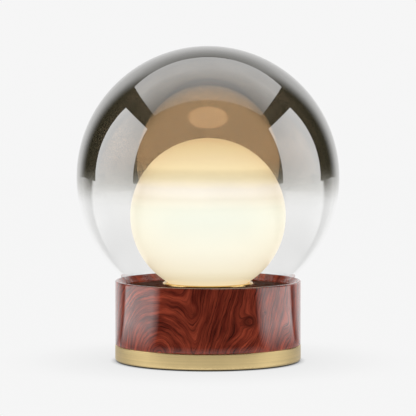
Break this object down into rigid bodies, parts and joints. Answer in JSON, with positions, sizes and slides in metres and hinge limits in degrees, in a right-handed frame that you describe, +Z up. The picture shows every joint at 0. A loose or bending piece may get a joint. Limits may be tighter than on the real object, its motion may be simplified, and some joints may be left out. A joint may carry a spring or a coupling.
{
  "type": "globe table lamp",
  "caption": "Cordless table lamp: a smoked glass globe that fades to clear over a lit opal globe, on a turned wood collar with a brass foot.",
  "frame": {"origin": "centre of the lamp's footprint on the surface it stands on", "axes": "+Z up along the lamp's axis; -Y is the front; +Y is the back, with the charging socket and the button"},
  "size_m": [0.25, 0.25, 0.3],
  "materials": {
    "smoked_glass": "smoked mirror coat that fades to clear glass below the middle",
    "opal_glass": "satin opal glass, lit from inside",
    "pad_rubber": "matte black",
    "brushed_brass": "fine brushing round the axis, satin lacquer",
    "zinc_steel": "bright zinc plated",
    "insert_brass": "machined",
    "red_wood": "polished lacquered red hardwood with a swirling grain",
    "deck_finish": "matte dark brown powder coat",
    "black_steel": "black oxide",
    "gasket_rubber": "matte dark brown",
    "gallery_brass": "satin turned brass",
    "clear_silicone": "satin translucent",
    "black_rubber": "matte",
    "post_aluminium": "machined, clear anodised",
    "white_board": "white solder mask",
    "led_phosphor": "yellow phosphor, lit",
    "dome_plastic": "frosted, lit",
    "tray_plastic": "moulded black",
    "cell_sleeve": "shrink sleeve",
    "nickel": "bright",
    "green_board": "green solder mask",
    "ferrite": "sintered ferrite",
    "capacitor_can": "bright drawn can",
    "chip_black": "moulded epoxy",
    "connector_white": "natural nylon",
    "carrier_plastic": "moulded black",
    "switch_plastic": "moulded black",
    "spring_steel": "drawn wire",
    "light_pipe": "clear acrylic",
    "socket_steel": "drawn shell",
    "socket_black": "moulded black",
    "led_white": "white",
    "lead_red": "soft insulation",
    "lead_black": "soft insulation",
    "lead_grey": "soft insulation"
  },
  "bodies": {
    "lamp_base": {"foot_pad": "pad_rubber", "foot_pan": "brushed_brass", "foot_screws": "zinc_steel", "wood_inserts": "insert_brass", "wood_collar": "red_wood", "deck_plate": "deck_finish", "deck_screws": "black_steel", "globe_gasket": "gasket_rubber", "gallery_ring": "gallery_brass", "gallery_sleeve": "clear_silicone", "deck_grommet": "black_rubber", "led_post": "post_aluminium", "post_screws": "zinc_steel", "led_board": "white_board", "led_chips": "led_phosphor", "led_dome": "dome_plastic", "battery_tray": "tray_plastic", "battery_cells": "cell_sleeve", "battery_tabs": "nickel", "battery_clamp": "zinc_steel", "clamp_screws": "zinc_steel", "control_board": "green_board", "board_standoffs": "insert_brass", "board_screws": "zinc_steel", "driver_inductor": "ferrite", "board_capacitors": "capacitor_can", "board_chips": "chip_black", "board_connectors": "connector_white", "rear_panel": "brushed_brass", "port_carrier": "carrier_plastic", "carrier_screws": "zinc_steel", "switch_board": "green_board", "tact_switch": "switch_plastic", "button_spring": "spring_steel", "charge_light": "light_pipe", "usb_socket": "socket_steel", "usb_tongue": "socket_black", "usb_board": "green_board", "charge_led": "led_white", "light_lead_red": "lead_red", "light_lead_black": "lead_black", "battery_lead_red": "lead_red", "battery_lead_black": "lead_black", "port_leads": "lead_grey", "switch_leads": "lead_grey"},
    "smoked_shade": {"smoked_globe": "smoked_glass"},
    "opal_shade": {"opal_globe": "opal_glass"},
    "button": {"power_button": "brushed_brass"}
  },
  "joints": [
    {"name": "smoked_globe_lift", "type": "slide", "parent": "lamp_base", "child": "smoked_shade", "axis": [0, 0, 1], "range_m": [0, 0.27]},
    {"name": "opal_globe_lift", "type": "slide", "parent": "lamp_base", "child": "opal_shade", "axis": [0, 0, 1], "range_m": [0, 0.06]},
    {"name": "button_press", "type": "slide", "parent": "lamp_base", "child": "button", "axis": [0, -1, 0], "range_m": [0, 0.0012], "stiffness_N_per_m": 300, "springref_m": -0.001, "deforming": ["button_spring"]}
  ]
}
